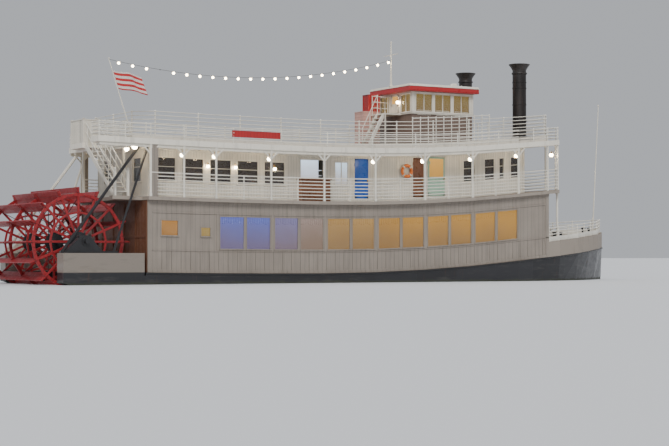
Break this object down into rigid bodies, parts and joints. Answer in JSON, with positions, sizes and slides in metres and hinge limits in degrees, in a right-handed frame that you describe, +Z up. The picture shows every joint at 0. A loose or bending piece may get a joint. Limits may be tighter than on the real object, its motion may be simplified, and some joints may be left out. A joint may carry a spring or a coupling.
{
  "type": "sternwheel paddle steamer",
  "caption": "Sternwheel passenger steamer with a turning paddle wheel, enclosed main deck, promenade deck, open sun deck, pilothouse and twin stacks.",
  "frame": {"origin": "on the flat bottom, in the middle of the length and of the breadth", "axes": "+X forward to the bow, +Y to port, +Z up; the waterline is at Z = 1.2 m"},
  "size_m": [34.08, 8.5, 13.46],
  "materials": {
    "hull_black": "semi-gloss black hull paint",
    "house_white": "semi-gloss off-white paint",
    "wheel_red": "semi-gloss red paint on boards",
    "trim_red": "gloss red paint",
    "stack_black": "heat-resistant black paint",
    "iron_black": "black painted steel",
    "deck_grey": "matt non-slip deck paint",
    "brown_wood": "varnished brown boards",
    "blue_door": "blue paint",
    "green_door": "pale green paint",
    "engine_grey": "grey machinery paint",
    "flag_cloth": "light woven bunting"
  },
  "bodies": {
    "vessel": {"sun_deck_rail": "house_white", "promenade_rail_starboard": "house_white", "promenade_rail_port": "house_white", "eave_rail_starboard": "house_white", "eave_rail_port": "house_white", "foredeck_rail": "house_white", "hull": "hull_black", "stern_stair": "house_white", "main_wall_starboard": "house_white", "main_wall_port": "house_white", "cabin_wall_starboard": "house_white", "cabin_wall_port": "house_white", "stack_starboard": "stack_black", "stack_port": "stack_black", "pilothouse_ladder": "house_white", "wheel_bearing_starboard": "iron_black", "wheel_bearing_port": "iron_black", "capstan": "house_white", "promenade_deck": "deck_grey", "hurricane_deck": "house_white", "sun_deck": "house_white", "cabin_wall_front": "house_white", "mast": "house_white", "main_wall_front": "house_white", "pilothouse_wall_starboard": "house_white", "pilothouse_wall_port": "house_white", "pilothouse_wall_front": "house_white", "pilothouse_wall_aft": "house_white", "jackstaff": "house_white", "upper_bow": "house_white", "pilothouse_landing": "house_white", "deck_hut": "trim_red", "cabin_wall_aft": "house_white", "hurricane_deck_aft": "house_white", "stern_bulwark": "house_white", "flagstaff": "house_white", "bar_counter": "brown_wood", "pilothouse_trunk": "house_white", "name_board": "trim_red", "pilothouse_roof": "trim_red", "engine": "engine_grey", "main_wall_aft": "brown_wood", "stern_post_starboard": "house_white", "stern_post_port": "house_white", "flag": "flag_cloth"},
    "wheel": {"paddle_wheel": "wheel_red", "wheel_shaft": "iron_black"},
    "rudder_middle": {"rudder_middle": "iron_black"},
    "rudder_starboard": {"rudder_starboard": "iron_black"},
    "rudder_port": {"rudder_port": "iron_black"},
    "bar_door_starboard": {"bar_door_starboard": "blue_door"},
    "service_door_starboard": {"service_door_starboard": "brown_wood"},
    "saloon_door_starboard": {"saloon_door_starboard": "green_door"},
    "bar_door_port": {"bar_door_port": "blue_door"},
    "service_door_port": {"service_door_port": "brown_wood"},
    "saloon_door_port": {"saloon_door_port": "green_door"},
    "front_door": {"front_door": "house_white"},
    "pilothouse_door": {"pilothouse_door": "house_white"}
  },
  "joints": [
    {"name": "paddle_wheel_turn", "type": "hinge", "parent": "vessel", "child": "wheel", "pos_m": [-14.62, 0, 3.1], "axis": [0, 1, 0], "continuous": true},
    {"name": "rudder_middle_turn", "type": "hinge", "parent": "vessel", "child": "rudder_middle", "pos_m": [-11, 0, 0.5], "axis": [0, 0, 1], "range_deg": [-35, 35]},
    {"name": "rudder_starboard_turn", "type": "hinge", "parent": "vessel", "child": "rudder_starboard", "pos_m": [-11, -2.5, 0.5], "axis": [0, 0, 1], "range_deg": [-35, 35]},
    {"name": "rudder_port_turn", "type": "hinge", "parent": "vessel", "child": "rudder_port", "pos_m": [-11, 2.5, 0.5], "axis": [0, 0, 1], "range_deg": [-35, 35]},
    {"name": "bar_door_starboard_swing", "type": "hinge", "parent": "vessel", "child": "bar_door_starboard", "pos_m": [-0.462, -3.0143, 6.3], "axis": [0, 0, -1], "range_deg": [0, 100]},
    {"name": "service_door_starboard_swing", "type": "hinge", "parent": "vessel", "child": "service_door_starboard", "pos_m": [2.888, -3.0143, 6.3], "axis": [0, 0, -1], "range_deg": [0, 100]},
    {"name": "saloon_door_starboard_swing", "type": "hinge", "parent": "vessel", "child": "saloon_door_starboard", "pos_m": [3.758, -3.0143, 6.3], "axis": [0, 0, -1], "range_deg": [0, 100]},
    {"name": "bar_door_port_swing", "type": "hinge", "parent": "vessel", "child": "bar_door_port", "pos_m": [-0.462, 3.0143, 6.3], "axis": [0, 0, 1], "range_deg": [0, 100]},
    {"name": "service_door_port_swing", "type": "hinge", "parent": "vessel", "child": "service_door_port", "pos_m": [2.888, 3.0143, 6.3], "axis": [0, 0, 1], "range_deg": [0, 100]},
    {"name": "saloon_door_port_swing", "type": "hinge", "parent": "vessel", "child": "saloon_door_port", "pos_m": [3.758, 3.0143, 6.3], "axis": [0, 0, 1], "range_deg": [0, 100]},
    {"name": "front_door_swing", "type": "hinge", "parent": "vessel", "child": "front_door", "pos_m": [10.5143, -0.462, 4.6], "axis": [0, 0, -1], "range_deg": [0, 100]},
    {"name": "pilothouse_door_swing", "type": "hinge", "parent": "vessel", "child": "pilothouse_door", "pos_m": [3.7257, 0.362, 10.2], "axis": [0, 0, -1], "range_deg": [0, 100]}
  ],
  "couplings": [
    {"joint": "rudder_starboard_turn", "follows": "rudder_middle_turn", "ratio": 1},
    {"joint": "rudder_port_turn", "follows": "rudder_middle_turn", "ratio": 1}
  ]
}
